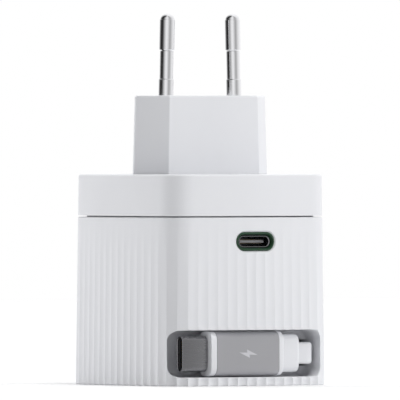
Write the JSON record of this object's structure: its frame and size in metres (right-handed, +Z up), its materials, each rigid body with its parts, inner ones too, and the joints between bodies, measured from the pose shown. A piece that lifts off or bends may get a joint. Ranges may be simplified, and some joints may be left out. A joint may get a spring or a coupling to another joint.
{
  "type": "plug-in wall charger with retractable cable",
  "caption": "Plug-in wall charger with a fluted round-cornered body, European plug pins, a USB-C port and a retractable USB-C cable stored in a front bay.",
  "frame": {"origin": "centre of the flat base, on the surface that the charger stands on", "axes": "+Z up through the plug pins; -Y is the front with the port and the cable bay; +X is to the right seen from the front"},
  "size_m": [0.048, 0.048, 0.0862],
  "materials": {
    "white_plastic": "satin moulded",
    "plug_plastic": "satin moulded",
    "pin_metal": "bright nickel",
    "pin_sleeve": "bright nickel look",
    "port_green": "satin green",
    "connector_steel": "satin drawn steel",
    "tongue_grey": "matte moulded",
    "black_plastic": "matte moulded",
    "grip_grey": "fine bead-blasted anodised",
    "emblem_print": "matte inlay",
    "cable_jacket": "soft matte",
    "reel_plastic": "moulded acetal",
    "small_steel": "plain steel",
    "contact_brass": "rolled",
    "board_laminate": "solder mask",
    "ferrite": "sintered",
    "winding_tape": "film",
    "copper_winding": "enamelled wire",
    "can_sleeve": "shrink sleeve",
    "blue_ceramic": "dipped coating",
    "heat_aluminium": "mill finish",
    "fibre_sheet": "fibre paper"
  },
  "bodies": {
    "housing": {"lower_shell": "white_plastic", "top_cap": "white_plastic", "plug_body": "plug_plastic", "pin_left": "pin_metal", "pin_right": "pin_metal", "pin_sleeve_left": "pin_sleeve", "pin_sleeve_right": "pin_sleeve", "contact_strip_left": "contact_brass", "contact_strip_right": "contact_brass", "port_bezel": "port_green", "port_shell": "connector_steel", "port_tongue": "tongue_grey", "cassette_base": "reel_plastic", "cassette_cover": "reel_plastic", "reel_arbor": "small_steel", "brush_contact_1": "contact_brass", "brush_contact_2": "contact_brass", "brush_contact_3": "contact_brass", "cassette_screw_1": "small_steel", "cassette_screw_2": "small_steel", "cassette_screw_3": "small_steel", "insulation_sheet": "fibre_sheet", "main_board": "board_laminate", "transformer_bobbin": "black_plastic", "transformer_core": "ferrite", "transformer_winding": "winding_tape", "bulk_capacitor_1": "can_sleeve", "bulk_capacitor_2": "can_sleeve", "output_capacitor_1": "can_sleeve", "output_capacitor_2": "can_sleeve", "choke_coil": "copper_winding", "x_capacitor": "winding_tape", "y_capacitor": "blue_ceramic", "fuse": "black_plastic", "bridge_rectifier": "black_plastic", "switch_transistor": "black_plastic", "heat_spreader": "heat_aluminium", "usb_board": "board_laminate", "board_header": "black_plastic"},
    "reel": {"reel_drum": "reel_plastic", "main_spring": "small_steel", "slip_ring": "board_laminate", "cable_coil": "cable_jacket"},
    "pawl": {"ratchet_pawl": "black_plastic"},
    "cable_lead": {"cable_run": "cable_jacket", "cable_bend": "cable_jacket"},
    "connector_head": {"usb_plug_shell": "connector_steel", "usb_plug_insert": "black_plastic", "front_collar": "white_plastic", "grip_sleeve": "grip_grey", "bolt_emblem": "emblem_print", "rear_collar": "white_plastic", "cable_neck": "white_plastic"}
  },
  "joints": [
    {"name": "cable_pull", "type": "slide", "parent": "housing", "child": "cable_lead", "axis": [0, -1, 0], "range_m": [0, 0.48], "stiffness_N_per_m": 0.5, "springref_m": -0.5},
    {"name": "reel_spin", "type": "hinge", "parent": "housing", "child": "reel", "pos_m": [0.0024, 0.0042, 0.0075], "axis": [0, 0, -1], "range_deg": [0, 2525]},
    {"name": "head_swing", "type": "hinge", "parent": "cable_lead", "child": "connector_head", "pos_m": [0.0179, -0.0203, 0.00745], "axis": [0, 0, 1], "range_deg": [0, 90]},
    {"name": "pawl_swing", "type": "hinge", "parent": "housing", "child": "pawl", "pos_m": [-0.01072, 0.01037, 0.0125], "axis": [0, 0, 1], "range_deg": [-3, 3], "stiffness_Nm_per_rad": 0.0001}
  ],
  "couplings": [
    {"joint": "reel_spin", "follows": "cable_pull", "rad_per_m": 91.63}
  ]
}
